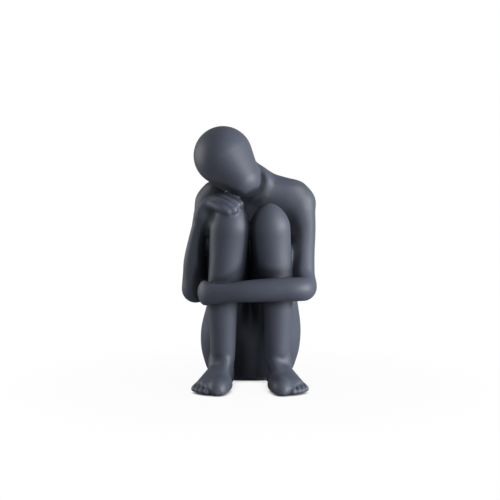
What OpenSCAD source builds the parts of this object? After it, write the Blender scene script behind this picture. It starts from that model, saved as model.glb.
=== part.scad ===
// Seated man figurine: ceramic, six castings luted together, on four felt pads.
// The castings are closed, so they are left solid inside.
// The figure faces -Y, +X is on its left-hand side, and the origin is the middle of its base.
// Lengths are in millimetres.

/* [Trunk] */
// Width of the seat where it meets the table
seat_w = 76; // [60:1:84]
// Front of the seat from the figure's middle line
seat_front = 8; // [3:0.5:11]
// Back of the seat from the middle line
seat_back = 63; // [57:1:69]
// Width across the hips
hip_w = 98; // [90:1:104]
// Height of the hips' widest place
hip_h = 47; // [41:1:53]
// Front of the hips
hip_front = 1; // [-3:0.5:5]
// Back of the hips
hip_back = 76; // [71:1:80]
// Depth of the cleft between the buttocks
cleft = 9; // [5:0.5:12]
// Width across the waist
waist_w = 84; // [78:1:92]
// Height of the waist
waist_h = 93; // [85:1:101]
// Front of the waist
waist_front = 11; // [7:0.5:15]
// Back of the waist
waist_back = 72; // [68:1:77]
// Width across the ribs
chest_w = 88; // [84:1:96]
// Height of the ribs' widest place
chest_h = 149; // [141:1:155]
// Front of the chest
chest_front = 0; // [-4:0.5:5]
// Back of the rib cage
chest_back = 63; // [57:1:69]
// Width of the trunk at the shoulders
shoulder_w = 92; // [86:1:98]
// Height of the shoulders
shoulder_h = 181; // [177:1:184]
// Front of the shoulders
shoulder_front = -4; // [-7:0.5:0]
// Back of the shoulders
shoulder_back = 48; // [44:1:53]
// Width of the slope between neck and shoulders
slope_w = 77; // [70:1:84]
// Height of that slope
slope_h = 194; // [192:0.5:196]
// Front of that slope
slope_front = -1; // [-4:0.5:2]
// Back of that slope
slope_back = 37; // [33:1:41]
// Width of the flat at the neck's root
root_w = 50; // [42:1:56]
// Height of that flat
root_h = 198.5; // [197:0.5:200]
// Front of that flat
root_front = 3; // [0:0.5:6]
// Back of that flat
root_back = 27; // [23:1:31]
// Depth of the furrow along the spine
spine_furrow = 3; // [1:0.5:5]
// How far the shoulders sway to the figure's left
sway = 5; // [2:0.5:8]
// Diameter of the vent in the seat
vent_d = 12; // [8:1:16]
// Depth of the vent
vent_l = 15; // [8:1:20]

/* [Neck and head] */
// Width of the neck
neck_w = 32; // [28:1:35]
// Depth of the neck, front to back
neck_d = 32; // [28:1:36]
// Distance of the neck's foot to the figure's left
neck_x = 9; // [6:0.5:12]
// Distance of the neck's foot back
neck_y = 14; // [11:0.5:17]
// Height of the neck's foot
neck_h = 187; // [184:0.5:190]
// Thickness of the tendons at the throat
tendon_d = 9; // [7:0.5:10]
// Thickness of the collarbones
collarbone_d = 8; // [6:0.5:9]
// Radius of the skull across the head
skull_r = 27.6; // [26:0.2:31]
// Half depth of the skull, front to back
skull_d = 32; // [29:0.5:35]
// Radius of the chin
chin_r = 18.3; // [17:0.1:21]
// Distance of the skull's centre to the figure's right
skull_x = 25.2; // [22:0.2:28]
// Distance of the skull's centre forward
skull_y = 16; // [13:0.5:19]
// Height of the skull's centre
skull_h = 217.8; // [214:0.2:220]
// Distance of the chin's centre to the figure's right
chin_x = 8.5; // [6:0.5:11]
// Distance of the chin's centre forward
chin_y = 26; // [23:0.5:29]
// Height of the chin's centre
chin_h = 196; // [193:0.5:198]

/* [Legs] */
// Distance of each hip joint from the middle
hip_x = 22; // [20:0.5:24]
// Distance of the hip joints back
hip_y = 33; // [29:1:37]
// Height of the hip joints
hip_joint_h = 32; // [29:1:36]
// Radius of the thigh at the hip
hip_r = 22; // [19:0.5:23]
// Distance of each knee from the middle
knee_x = 18.6; // [17:0.2:21]
// Distance of the knees forward
knee_y = 35; // [32:0.5:38]
// Height of the knee joints
knee_h = 151; // [147:1:155]
// Width of the knee
knee_w = 34.6; // [31:0.2:36]
// Half depth of the knee, front to back
knee_d = 16.5; // [15:0.5:18]
// Height of the kneecap over the joint
knee_top = 23; // [20:0.5:25]
// Width of the thigh
thigh_w = 39.5; // [34:0.5:41]
// Half depth of the thigh
thigh_d = 18; // [16:0.5:20]
// Distance of each shin from the middle, at the calf
calf_x = 25.4; // [23:0.5:27]
// Width of the calf
calf_w = 29; // [27:0.5:32]
// Half depth of the calf behind the shin's line
calf_d = 17; // [15:0.5:19]
// Half depth of the shin in front of that line
shin_d = 13.5; // [12:0.5:15]
// Distance of each ankle from the middle
ankle_x = 25.6; // [23:0.5:28]
// Distance of the ankles forward
ankle_y = 19; // [16:0.5:22]
// Height of the ankles
ankle_h = 29; // [25:0.5:33]
// Width of the ankle
ankle_w = 22.8; // [20:0.2:26]

/* [Feet] */
// Distance of each heel from the middle
heel_x = 25.5; // [23:0.5:27]
// Distance of the heels forward
heel_y = 9; // [6:0.5:12]
// Width of the heel
heel_w = 20; // [18:0.5:22]
// Height of the instep
instep_h = 21; // [18:0.5:24]
// Distance of the ball of each foot from the middle
ball_x = 36.5; // [33:0.5:39]
// Distance of the ball of each foot forward
ball_y = 53; // [49:0.5:56]
// Width of the foot across the ball
ball_w = 33; // [30:0.5:36]
// Height of the foot at the ball
ball_h = 12; // [10.5:0.5:14]
// Length of the big toe from the ball
big_toe_l = 14; // [11:0.5:16]
// Width of the big toe
big_toe_w = 12.6; // [11:0.2:13.4]
// Width of the small toes
small_toe_w = 6.6; // [6:0.2:7.2]

/* [Arms] */
// Distance of the left shoulder joint from the middle
left_shoulder_x = 50.5; // [47:0.5:54]
// Distance of the right shoulder joint from the middle
right_shoulder_x = 40; // [37:0.5:43]
// Distance of the shoulder joints back
arm_root_y = 17; // [13:0.5:21]
// Height of the shoulder joints
arm_root_h = 172; // [168:0.5:175]
// Width of the arm at the shoulder
deltoid_w = 26; // [24:0.5:30]
// Height of the shoulder's round over its joint
deltoid_top = 16.5; // [13:0.5:18]
// Width of the upper arm
upper_arm_w = 22.8; // [20:0.2:25]
// Width of the arm at the elbow
elbow_w = 23; // [20:0.2:25]
// Distance of the left elbow from the middle
left_elbow_x = 49.4; // [46:0.2:52]
// Distance of the left elbow forward
left_elbow_y = 22; // [19:0.5:25]
// Height of the left elbow
left_elbow_h = 95.5; // [93:0.5:98]
// Distance of the right elbow from the middle
right_elbow_x = 53; // [50:0.5:56]
// Distance of the right elbow forward
right_elbow_y = 6; // [3:0.5:9]
// Height of the right elbow
right_elbow_h = 91.5; // [88:0.5:95]
// Height of the left forearm where it crosses the shins
cross_h = 94; // [91:0.5:97]
// Width of the forearm below the elbow
forearm_w = 22; // [19:0.5:25]
// Width of the wrist
wrist_w = 18; // [15:0.5:20]
// Thickness of the wrist
wrist_d = 15; // [12:0.5:17]
// How far the right forearm bows outwards
forearm_bow = 4; // [1:0.5:5]
// Distance of the right wrist from the middle
right_wrist_x = 41.5; // [39:0.5:44]
// Distance of the right wrist forward
right_wrist_y = 36; // [33:0.5:39]
// Height of the right wrist
right_wrist_h = 164; // [161:0.5:167]

/* [Hands] */
// Thickness of the palm
palm_t = 10.4; // [9:0.2:12]
// Width of the palm across the knuckles
palm_w = 24; // [21:0.5:26]
// Thickness of a finger
finger_d = 7; // [6:0.2:7.6]
// How far a resting limb is let into the form that carries it
seating = 0.8; // [0.4:0.1:1.2]

/* [Felt pads] */
// Thickness of the felt
pad_t = 1; // [1:0.5:3]
// Diameter of the pads under the seat
seat_pad_d = 18; // [14:1:22]
// Distance of the seat pads from the middle
seat_pad_x = 21; // [19:0.5:24]
// Distance of the seat pads back
seat_pad_y = 35; // [32:1:39]
// Diameter of the pads under the feet
foot_pad_d = 14; // [10:1:16]

/* [Hidden] */

// Counts of the castings' surfaces
trunk_sides = 32;
limb_sides = 20;
vent_sides = 24;
span_steps = 3;
dome_rings = 3;
digit_facets = 8;
muscle_facets = 12;
skull_facets = 34;
furrow_power = 14;

// Overrun of every cut past the form that it cuts
over = 1;

LEFT = 1;
RIGHT = -1;

function unit(v) = v / norm(v);
function place(s) = [s[0], s[1], s[2]];
function between(a, b, share) = a + (b - a) * share;
function sided(side, p) = [side * p[0], p[1], p[2]];

// A station is a centre, the half width, the half depth ahead, the half depth behind and a furrow's depth.
function station(p, half_w, ahead, behind, furrow = 0) = [p[0], p[1], p[2], half_w, ahead, behind, furrow];
function round_station(p, r) = station(p, r, r, r);

// Smooth curve through four neighbouring stations, at share t of the middle span
function blend4(a, b, c, d, t) =
    0.5 * (2 * b + (c - a) * t + (2 * a - 5 * b + 4 * c - d) * t * t
           + (3 * b - a - 3 * c + d) * t * t * t);

function smoothed(s) =
    [for (i = [0 : len(s) - 2], k = [0 : span_steps - 1])
        blend4(s[max(i - 1, 0)], s[i], s[i + 1], s[min(i + 2, len(s) - 1)], k / span_steps),
     s[len(s) - 1]];

function way(s, i) = unit(place(s[min(i + 1, len(s) - 1)]) - place(s[max(i - 1, 0)]));

// A quarter of an ellipse that closes an end: dir is its way and h its height
function dome(s, dir, h) =
    h == 0 ? [] :
    [for (k = [1 : dome_rings])
        let (a = 90 * k / (dome_rings + 0.5))
        station(place(s) + dir * h * sin(a), s[3] * cos(a), s[4] * cos(a), s[5] * cos(a), s[6] * cos(a))];

// The furrow runs down the middle of the side behind.
function ring(s, dir, across, sides) =
    let (u = unit(across - dir * (across * dir)), v = cross(dir, u))
    [for (k = [0 : sides - 1])
        let (a = 360 * k / sides, depth = sin(a) > 0 ? s[4] : s[5] - s[6] * pow(-sin(a), furrow_power))
        place(s) + u * s[3] * cos(a) + v * depth * sin(a)];

// Solid through stations. The half width lies along across, and each end has its dome.
// The rings stand square to the path, or square to heading where that is given.
module loft(stations, across = [1, 0, 0], start_dome = 0, end_dome = 0, sides = limb_sides, heading = undef) {
    body = smoothed(stations);
    last = len(body) - 1;
    ways = [for (i = [0 : last]) is_undef(heading) ? way(body, i) : heading];
    first_way = ways[0];
    last_way = ways[last];
    lead = dome(body[0], -first_way, start_dome);
    tail = dome(body[last], last_way, end_dome);
    rings = concat(
        [for (k = [len(lead) - 1 : -1 : 0]) ring(lead[k], first_way, across, sides)],
        [for (i = [0 : last]) ring(body[i], ways[i], across, sides)],
        [for (s = tail) ring(s, last_way, across, sides)]);
    n = len(rings);
    poles = [place(body[0]) - first_way * start_dome, place(body[last]) + last_way * end_dome];
    skin = [for (i = [0 : n - 2], k = [0 : sides - 1])
        let (m = (k + 1) % sides)
        each [[i * sides + k, (i + 1) * sides + m, i * sides + m],
              [i * sides + k, (i + 1) * sides + k, (i + 1) * sides + m]]];
    ends = [for (k = [0 : sides - 1])
        let (m = (k + 1) % sides)
        each [[n * sides, k, m], [n * sides + 1, (n - 1) * sides + m, (n - 1) * sides + k]]];
    polyhedron([for (r = rings) each r, each poles], concat(skin, ends), convexity = 8);
}

module ball(p, d, facets = digit_facets) {
    translate(p) sphere(d = d, $fn = facets);
}

// Finger or toe: a rod that tapers through the places of its joints
module digit(joints, d, tip_share = 0.86, facets = digit_facets) {
    last = len(joints) - 1;
    for (i = [0 : last - 1])
        hull() {
            ball(joints[i], between(d, d * tip_share, i / last), facets);
            ball(joints[i + 1], between(d, d * tip_share, (i + 1) / last), facets);
        }
}

module below_the_sole() {
    ground_w = 4 * hip_w;
    translate([-ground_w / 2, -ground_w / 2, pad_t - hip_h]) cube([ground_w, ground_w, hip_h]);
}

// Trunk, from the neck's root down to the seat
middle_share = 0.44;
root_dome_share = 0.09;
function trunk_station(sway_share, w, front, back, h, furrow) =
    let (y = between(front, back, middle_share))
    station([sway * sway_share, y, h], w / 2, y - front, back - y, furrow);

root = trunk_station(1, root_w, root_front, root_back, root_h, 0);
slope = trunk_station(1, slope_w, slope_front, slope_back, slope_h, spine_furrow / 2);
shoulders = trunk_station(1, shoulder_w, shoulder_front, shoulder_back, shoulder_h, spine_furrow);
ribs = trunk_station(1, chest_w, chest_front, chest_back, chest_h, spine_furrow);
waist = trunk_station(0.7, waist_w, waist_front, waist_back, waist_h, spine_furrow / 2);
hips = trunk_station(0.2, hip_w, hip_front, hip_back, hip_h, cleft);
low_share = 0.3;
low = trunk_station(0, between(seat_w, hip_w, 2 * low_share), between(seat_front, hip_front, low_share),
                    between(seat_back, hip_back, 2 * low_share), between(pad_t, hip_h, low_share), cleft);
seat = trunk_station(0, seat_w, seat_front, seat_back, pad_t, cleft / 2);

chin_c = [-chin_x, -chin_y, chin_h];
skull_c = [-skull_x, -skull_y, skull_h];
neck_foot = [neck_x, neck_y, neck_h];
neck_head = between(skull_c, chin_c, 0.3) + [neck_w * 0.08, skull_d * 0.45, neck_w * 0.06];

module neck_form() {
    flare = 1.3;
    buried = neck_foot + [neck_w * 0.25, neck_d * 0.25, -neck_d * 0.6];
    loft([round_station(buried, neck_w / 2),
          station(neck_foot, neck_w / 2 * flare, neck_d / 2 * flare, neck_d / 2 * flare),
          station(between(neck_foot, neck_head, 0.5), neck_w / 2, neck_d / 2, neck_d / 2),
          station(neck_head, neck_w / 2, neck_d / 2, neck_d / 2)]);
}

// The hollow of the throat, where both collarbones and both neck tendons end
throat = [neck_x * 0.8, shoulder_front + collarbone_d * 0.5, shoulder_h - collarbone_d * 0.2];

module collarbone(side) {
    outer = [sway + side * shoulder_w * 0.37, root_front + collarbone_d * 0.7, slope_h - collarbone_d];
    middle = between(throat, outer, 0.5) + [0, -collarbone_d * 0.2, 0];
    digit([throat + [side * collarbone_d * 0.4, 0, 0], middle, outer], collarbone_d, 1, muscle_facets);
}

module neck_tendon(side) {
    top = neck_head + [neck_w * (side > 0 ? 0.3 : -0.4), -neck_d * 0.08, 0];
    foot = throat + [side * tendon_d * 0.45, tendon_d * 0.15, -tendon_d * 0.55];
    middle = side > 0 ? neck_foot + [neck_w * 0.15, -neck_d * 0.45, neck_w * 0.24] : between(foot, top, 0.6);
    digit([foot, middle, top], tendon_d, 1, muscle_facets);
}

module trunk_form() {
    loft([root, slope, shoulders, ribs, waist, hips, low, seat],
         start_dome = root_w * root_dome_share, sides = trunk_sides, heading = [0, 0, -1]);
    neck_form();
    for (side = [LEFT, RIGHT]) {
        collarbone(side);
        neck_tendon(side);
    }
}

module vent() {
    translate([0, place(seat)[1], pad_t - over]) cylinder(d = vent_d, h = vent_l + over, $fn = vent_sides);
}

module trunk() {
    color("slategray") difference() {
        trunk_form();
        vent();
        below_the_sole();
    }
}

// Head: a blank egg
module head_form() {
    hull() {
        translate(skull_c) scale([1, skull_d / skull_r, 1]) sphere(r = skull_r, $fn = skull_facets);
        translate(chin_c) sphere(r = chin_r, $fn = skull_facets);
    }
}

module head() {
    color("slategray") difference() {
        head_form();
        trunk_form();
        right_arm_form();
    }
}

// Legs
function knee(side) = sided(side, [knee_x, -knee_y, knee_h]);
function ankle(side) = sided(side, [ankle_x, -ankle_y, ankle_h]);
function hip(side) = sided(side, [hip_x, hip_y, hip_joint_h]);
function heel(side) = sided(side, [heel_x, -heel_y, pad_t]);
function foot_ball(side) = sided(side, [ball_x, -ball_y, pad_t]);
calf_share = 0.46;
function calf(side) =
    let (p = between(ankle(side), knee(side), calf_share))
    [side * calf_x, p[1], p[2]];

module thigh_form(side) {
    loft([round_station(hip(side), hip_r),
          station(between(hip(side), knee(side), 0.5), thigh_w / 2, thigh_d, thigh_d * 1.1),
          station(knee(side), knee_w / 2 * 0.94, knee_d * 0.9, knee_d * 0.9)],
         start_dome = hip_r, end_dome = knee_top * 0.6);
}

module shin_form(side) {
    foot_end = between(ankle(side), heel(side), 0.5);
    under_calf = between(ankle(side), calf(side), 0.45);
    under_knee = between(calf(side), knee(side), 0.5);
    loft([round_station(foot_end, ankle_w * 0.4),
          station(ankle(side), ankle_w / 2, ankle_w / 2, ankle_w / 2),
          station(under_calf, between(ankle_w, calf_w, 0.4) / 2, shin_d * 0.92, calf_d * 0.8),
          station(calf(side), calf_w / 2, shin_d, calf_d),
          station(under_knee, between(calf_w, knee_w, 0.5) / 2, between(shin_d, knee_d, 0.6),
                  between(calf_d, knee_d, 0.5)),
          station(knee(side), knee_w / 2, knee_d, knee_d)],
         across = [-1, 0, 0], end_dome = knee_top);
}

// The foot's rings stand on the sole, and their lower half is cut level with the pads.
sole_share = 0.25;
function foot_station(p, w, h) =
    station(p + [0, 0, h * sole_share], w / 2, h * sole_share + over, h * (1 - sole_share));

module foot_form(side) {
    dir = unit(foot_ball(side) - heel(side));
    inward = cross(dir, [0, 0, 1]) * side;
    instep = between(heel(side), foot_ball(side), 0.5);
    toe_line = foot_ball(side) + dir * big_toe_l * 0.3 - inward * small_toe_w * 0.2;
    loft([foot_station(heel(side), heel_w, instep_h),
          foot_station(between(heel(side), instep, 0.5), heel_w, instep_h * 1.2),
          foot_station(instep, between(heel_w, ball_w, 0.6), instep_h),
          foot_station(foot_ball(side), ball_w, ball_h),
          foot_station(toe_line, ball_w * 0.92, small_toe_w)],
         across = inward * side, start_dome = heel_w / 2, end_dome = small_toe_w * 0.4);
    toes(foot_ball(side), dir, inward);
    ball(ankle(side) + [side * ankle_w * 0.24, ankle_w * 0.1, -ankle_w * 0.3], ankle_w * 0.64, muscle_facets);
}

// Toes, from the big one outwards: their places inward of the ball's middle, and their lengths
toe_place_shares = [0.26, -0.01, -0.16, -0.29, -0.4];
toe_length_shares = [1, 1.05, 0.88, 0.66, 0.32];
module toes(foot_ball, dir, inward) {
    for (i = [0 : len(toe_place_shares) - 1]) {
        w = i == 0 ? big_toe_w : small_toe_w;
        line = foot_ball + inward * ball_w * toe_place_shares[i];
        tip = line + dir * (big_toe_l * toe_length_shares[i] - w * 0.4) + [0, 0, w * 0.36];
        knuckle = between(line, tip, 0.5) + [0, 0, w * 0.36];
        instep_end = line - dir * w + [0, 0, ball_h - w * 0.55];
        digit([instep_end, knuckle, tip], w, 1);
    }
}

module leg_form(side) {
    thigh_form(side);
    shin_form(side);
    foot_form(side);
}

module leg(side) {
    color("slategray") difference() {
        leg_form(side);
        trunk_form();
        below_the_sole();
    }
}

module right_leg() { leg(RIGHT); }
module left_leg() { leg(LEFT); }

// Arms
left_shoulder = [left_shoulder_x, arm_root_y, arm_root_h];
right_shoulder = [-right_shoulder_x, arm_root_y, arm_root_h];
left_elbow = [left_elbow_x, -left_elbow_y, left_elbow_h];
right_elbow = [-right_elbow_x, -right_elbow_y, right_elbow_h];
right_wrist = [-right_wrist_x, -right_wrist_y, right_wrist_h];

// The elbow's ball is a little thicker than the arm, so both halves of the arm end inside it.
elbow_share = 1.06;
module upper_arm(shoulder, elbow) {
    side = sign(shoulder[0]);
    neckwards = [sway + side * root_w * 0.5, shoulder[1], root_h - deltoid_w * 0.55];
    hull() {
        ball(shoulder + [0, 0, deltoid_top - deltoid_w / 2], deltoid_w * 0.96, muscle_facets);
        ball(neckwards, deltoid_w * 0.7, muscle_facets);
    }
    loft([round_station(shoulder, deltoid_w / 2),
          round_station(between(shoulder, elbow, 0.3) + [0, upper_arm_w * 0.08, 0],
                        between(deltoid_w, upper_arm_w, 0.7) / 2),
          round_station(between(shoulder, elbow, 0.65), upper_arm_w / 2),
          round_station(elbow, elbow_w / 2)],
         start_dome = deltoid_top);
    ball(elbow, elbow_w * elbow_share, limb_sides);
}

module right_arm_form() {
    bow = [-forearm_bow, 0, 0];
    upper_arm(right_shoulder, right_elbow);
    loft([round_station(right_elbow, elbow_w / 2),
          round_station(between(right_elbow, right_wrist, 0.35) + bow, between(elbow_w, wrist_d, 0.32) / 2),
          round_station(between(right_elbow, right_wrist, 0.7) + bow * 0.9, between(elbow_w, wrist_d, 0.7) / 2),
          station(right_wrist, wrist_d / 2, wrist_w / 2, wrist_w / 2)],
         end_dome = wrist_d / 2);
    right_hand();
}

// A place on the round of the right knee, by its bearing from the front and its rise, lifted clear
function on_knee(bearing, rise, lift) =
    let (d = [cos(rise) * sin(bearing), -cos(rise) * cos(bearing), sin(rise)])
    knee(RIGHT) + [knee_w / 2 * d[0], knee_d * d[1], knee_top * d[2]] + d * (lift - seating);

// Index finger first: bearings and rises of the knuckles, the bends and the tips
knuckle_bearings = [-74, -78, -84, -100];
knuckle_rises = [46, 56, 67, 80];
bend_bearings = [-31, -16, 15, 40];
bend_rises = [51, 62, 74, 83];
tip_bearings = [-4, 20, 58, 110];
tip_rises = [38, 41, 60, 66];

module right_hand() {
    fingers = [0 : len(tip_rises) - 1];
    knuckles = [for (i = fingers) on_knee(knuckle_bearings[i], knuckle_rises[i], palm_t / 2)];
    hull() {
        for (p = knuckles) ball(p, palm_t);
        ball(right_wrist, wrist_d * 0.9);
        ball(between(right_wrist, knuckles[3], 0.45) + [-palm_t * 0.15, 0, palm_t * 0.55], palm_t);
    }
    for (i = fingers)
        digit([knuckles[i],
               on_knee(bend_bearings[i], bend_rises[i], finger_d * 0.8),
               on_knee(tip_bearings[i], tip_rises[i], finger_d / 2)], finger_d * 1.2);
}

module right_arm() {
    color("slategray") difference() {
        right_arm_form();
        trunk_form();
        leg_form(RIGHT);
    }
}

// The left forearm lies across the fronts of both shins.
function shin_front(side) =
    let (share = (cross_h - ankle_h) / (knee_h - ankle_h),
         p = between(ankle(side), knee(side), share))
    [side * calf_x, p[1] - shin_d, cross_h];

fall = left_elbow_h - cross_h;
wrist_over_shin = shin_front(RIGHT) + [0, seating - wrist_d / 2, -fall];

module left_arm_form() {
    over_left_shin = shin_front(LEFT) + [0, seating - forearm_w * 0.45, fall];
    between_shins = between(over_left_shin, wrist_over_shin, 0.5) - [0, forearm_w * 0.05, 0];
    upper_arm(left_shoulder, left_elbow);
    loft([round_station(left_elbow, elbow_w / 2),
          round_station(between(left_elbow, over_left_shin, 0.5) - [0, forearm_w * 0.1, 0], forearm_w * 0.55),
          round_station(over_left_shin, forearm_w / 2),
          round_station(between_shins, between(forearm_w, wrist_w, 0.4) / 2),
          station(wrist_over_shin + [wrist_w * 0.3, 0, 0], wrist_w / 2, wrist_d / 2, wrist_d / 2)],
         across = [0, 0, 1], end_dome = wrist_w / 2);
    left_hand();
}

// Fingers of the left hand, from the index down: places above the palm's middle
finger_row_shares = [0.4, 0.14, -0.13, -0.4];
function row(p, share) = p + [0, 0, palm_w * share];

// A place beside the right shin at the hand's height, turned from the shin's front and lifted clear
hand_axis = shin_front(RIGHT) + [0, shin_d, -2 * fall];
function round_shin(turn, lift) =
    let (depth = cos(turn) > 0 ? shin_d : calf_d,
         out = unit([-sin(turn) * depth, -cos(turn) * calf_w / 2, 0]))
    hand_axis - [calf_w / 2 * sin(turn), depth * cos(turn), 0] + out * (lift - seating);

// The hand bends round the shin: its turns, half widths and half thicknesses, then the turns of its fingers
palm_turns = [32, 62, 95, 128];
palm_w_shares = [0.46, 0.51, 0.48, 0.4];
palm_t_shares = [0.52, 0.48, 0.42, 0.34];
finger_turns = [72, 102, 134];

module left_hand() {
    d = finger_d * 1.1;
    loft(concat([round_station(wrist_over_shin + [wrist_w * 0.7, 0, 0], wrist_d * 0.3),
                 station(wrist_over_shin, wrist_w / 2, wrist_d / 2, wrist_d / 2)],
                [for (i = [0 : len(palm_turns) - 1])
                    let (t = palm_t * palm_t_shares[i])
                    station(round_shin(palm_turns[i], t), palm_w * palm_w_shares[i], t, t)]),
         across = [0, 0, 1], end_dome = palm_t * 0.4);
    for (share = finger_row_shares)
        digit([for (turn = finger_turns) row(round_shin(turn, d / 2), share)], d);
}

module left_arm() {
    color("slategray") difference() {
        left_arm_form();
        trunk_form();
        leg_form(LEFT);
        leg_form(RIGHT);
        right_arm_form();
    }
}

// Felt pads
module pad(p, d) {
    color("dimgray") translate(p) cylinder(d = d, h = pad_t, $fn = 48);
}

pad_share = 0.8;
function foot_pad_place(side) =
    sided(side, [between(heel_x, ball_x, pad_share), -between(heel_y, ball_y, pad_share), 0]);

module right_seat_pad() { pad([-seat_pad_x, seat_pad_y, 0], seat_pad_d); }
module left_seat_pad() { pad([seat_pad_x, seat_pad_y, 0], seat_pad_d); }
module right_foot_pad() { pad(foot_pad_place(RIGHT), foot_pad_d); }
module left_foot_pad() { pad(foot_pad_place(LEFT), foot_pad_d); }

trunk();
head();
right_arm();
left_arm();
right_leg();
left_leg();
right_seat_pad();
left_seat_pad();
right_foot_pad();
left_foot_pad();
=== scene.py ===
"""Seated man figurine: six glazed castings and four felt pads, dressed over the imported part.

The castings' forms flow into one another, which no single grid of two parameters can give. So each
limb is first a profile carried along a path, and these forms become one field of distances on a
lattice, blended softly at the joints and tightly where one casting only touches another. The skin
is where the field is zero, and each casting takes its own share of it, closed by its joint faces.
"""

import bpy
import numpy as np
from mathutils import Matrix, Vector


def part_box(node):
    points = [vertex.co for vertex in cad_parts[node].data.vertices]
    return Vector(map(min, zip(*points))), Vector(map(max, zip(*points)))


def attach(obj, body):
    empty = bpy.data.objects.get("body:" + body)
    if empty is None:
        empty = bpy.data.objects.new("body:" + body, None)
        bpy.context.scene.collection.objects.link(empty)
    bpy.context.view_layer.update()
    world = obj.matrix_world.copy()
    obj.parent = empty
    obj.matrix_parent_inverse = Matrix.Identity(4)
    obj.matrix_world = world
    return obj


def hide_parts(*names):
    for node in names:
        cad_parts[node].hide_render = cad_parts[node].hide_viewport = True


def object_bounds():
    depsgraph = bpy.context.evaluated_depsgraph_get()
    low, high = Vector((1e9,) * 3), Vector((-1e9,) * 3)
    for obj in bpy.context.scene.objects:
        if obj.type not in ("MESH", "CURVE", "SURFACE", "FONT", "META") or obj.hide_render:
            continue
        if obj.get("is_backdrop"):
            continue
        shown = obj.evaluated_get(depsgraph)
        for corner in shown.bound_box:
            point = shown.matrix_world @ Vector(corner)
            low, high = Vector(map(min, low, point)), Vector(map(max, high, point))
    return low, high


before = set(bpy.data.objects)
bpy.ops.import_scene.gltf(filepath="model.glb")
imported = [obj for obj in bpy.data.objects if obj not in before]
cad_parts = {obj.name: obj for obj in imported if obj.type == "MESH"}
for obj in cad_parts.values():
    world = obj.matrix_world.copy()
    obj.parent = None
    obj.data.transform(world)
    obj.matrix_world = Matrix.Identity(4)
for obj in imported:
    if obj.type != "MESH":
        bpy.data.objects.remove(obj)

bl_info = {
    "name": "Seated man figurine",
    "version": (1, 0, 0),
    "blender": (4, 5, 0),
    "location": "3D View > Sidebar > Figurine",
    "description": "Dresses the packed figurine with glazed castings, felt pads and a studio",
    "category": "Object",
}

MM = 0.001
LEFT = 1
RIGHT = -1
CAD_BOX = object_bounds()
CASTINGS = ("trunk", "head", "right_arm", "left_arm", "right_leg", "left_leg")
PADS = ("right_seat_pad", "left_seat_pad", "right_foot_pad", "left_foot_pad")


# Properties

def length(name, text, mm):
    """A length, with its default in millimetres."""
    return bpy.props.FloatProperty(name=name, description=text, default=mm * MM, unit="LENGTH", precision=4)


def lengths(name, text, *mm):
    """Several lengths of one form, with their defaults in millimetres."""
    return bpy.props.FloatVectorProperty(name=name, description=text, size=len(mm),
                                         default=[v * MM for v in mm], unit="LENGTH", precision=4)


def amount(name, text, value, high=1.0):
    """A plain number from nought to high."""
    return bpy.props.FloatProperty(name=name, description=text, default=value, min=0.0, max=high)


def colour(name, text, *rgb):
    """A colour in linear light."""
    return bpy.props.FloatVectorProperty(name=name, description=text, size=3, default=rgb, min=0.0, max=1.0,
                                         subtype="COLOR")


class TrunkForm(bpy.types.PropertyGroup):
    """Rings of the trunk, each as width, front, back and height."""
    crown: lengths("Crown", "Width, front, back and height where the top closes", 92, -4, 37, 196)
    shoulders: lengths("Shoulders", "Width, front, back and height of the shoulders", 92, -4, 48, 181)
    ribs: lengths("Ribs", "Width, front, back and height of the rib cage", 88, 0, 63, 149)
    waist: lengths("Waist", "Width, front, back and height of the waist", 84, 11, 72, 93)
    hips: lengths("Hips", "Width, front, back and height of the hips", 98, 1, 75.5, 47)
    seat: lengths("Seat", "Width, front, back and height of the seat", 76, 8, 63, 1)
    sway: length("Sway", "How far the shoulders lean to the figure's left", 5)
    furrow: length("Furrow", "Depth of the furrow along the spine", 3)
    cleft: length("Cleft", "Depth of the cleft between the buttocks", 9)
    vent: lengths("Vent", "Diameter and depth of the vent in the seat", 12, 15)
    neck_foot: lengths("Neck's foot", "Place of the neck's foot", 9, 14, 187)
    neck: length("Neck", "Thickness of the neck", 32)
    tendon: length("Tendon", "Thickness of the neck's tendons", 10)
    collarbone: length("Collarbone", "Thickness of the collarbones", 8)
    hollow: lengths("Hollow", "Radius and depth of the hollow under the left shoulder", 18, 5.5)


class HeadForm(bpy.types.PropertyGroup):
    """The blank egg of the head."""
    skull: lengths("Skull", "Place of the skull's middle", -25.2, -16, 217.7)
    skull_size: lengths("Skull's size", "Radius of the skull across and in depth", 27.6, 32)
    chin: lengths("Chin", "Place of the chin's middle", -8.5, -26, 196)
    chin_r: length("Chin's radius", "Radius of the chin", 18.3)


class LegForm(bpy.types.PropertyGroup):
    """Sizes of the left leg, which the right one mirrors."""
    hip: lengths("Hip", "Place of the hip joint", 22, 33, 32)
    hip_r: length("Hip's radius", "Radius of the thigh at the hip", 22)
    knee: lengths("Knee", "Place of the knee joint", 18.6, -35, 151)
    knee_size: lengths("Knee's size", "Width, half depth and height of the knee", 34.6, 16.5, 23)
    thigh: lengths("Thigh", "Width and half depth of the thigh", 39.5, 18)
    calf_x: length("Calf's place", "Distance of the calf from the middle", 25.4)
    calf: lengths("Calf", "Width of the calf and its half depths in front and behind", 29, 13.5, 17)
    ankle: lengths("Ankle", "Place of the ankle", 25.6, -19, 29)
    ankle_w: length("Ankle's width", "Width of the ankle", 22.8)


class FootForm(bpy.types.PropertyGroup):
    """Sizes of the left foot, which the right one mirrors."""
    heel: lengths("Heel", "Place of the heel on the sole", 25.5, -9, 1)
    heel_w: length("Heel's width", "Width of the heel", 20)
    instep_h: length("Instep", "Height of the instep", 21)
    ball: lengths("Ball", "Place of the ball of the foot on the sole", 36.5, -53, 1)
    ball_size: lengths("Ball's size", "Width and height of the foot at the ball", 33, 12)
    big_toe: lengths("Big toe", "Length and width of the big toe", 12.4, 12.6)
    small_toe_w: length("Small toes", "Width of the small toes", 6.6)


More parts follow.
